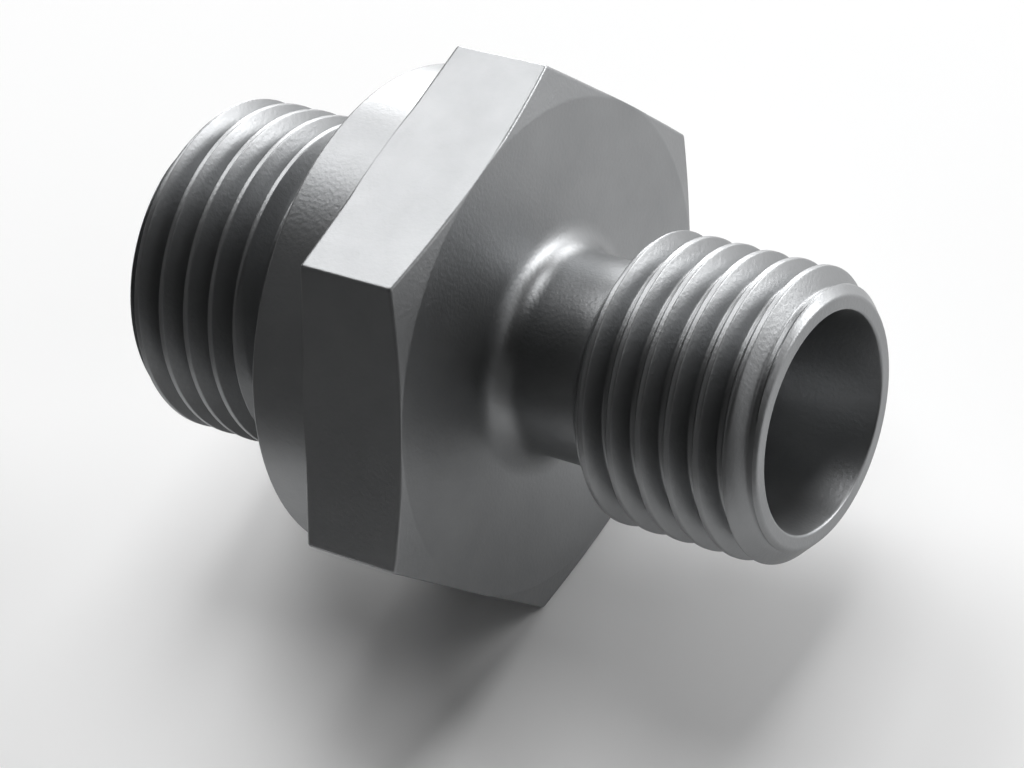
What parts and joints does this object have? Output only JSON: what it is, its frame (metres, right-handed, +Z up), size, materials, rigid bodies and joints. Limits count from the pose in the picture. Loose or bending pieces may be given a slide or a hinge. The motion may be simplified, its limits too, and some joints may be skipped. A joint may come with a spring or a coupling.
{
  "type": "male stud coupling",
  "caption": "Straight one-piece steel coupling: a threaded stud with a sealing collar, a hexagon, and a necked threaded end with an inner cone for a tube.",
  "frame": {"origin": "on the bore's axis, in the plane of the collar's sealing face", "axes": "+X along the bore towards the tube end, the stud points to -X, +Z up out of the upper flat of the hexagon, the coupling lying on the opposite flat"},
  "size_m": [0.0342, 0.0278, 0.024],
  "materials": {
    "plated_steel": "satin dark plated steel, finely textured"
  },
  "bodies": {
    "root": {"coupling_body": "plated_steel"}
  },
  "joints": []
}
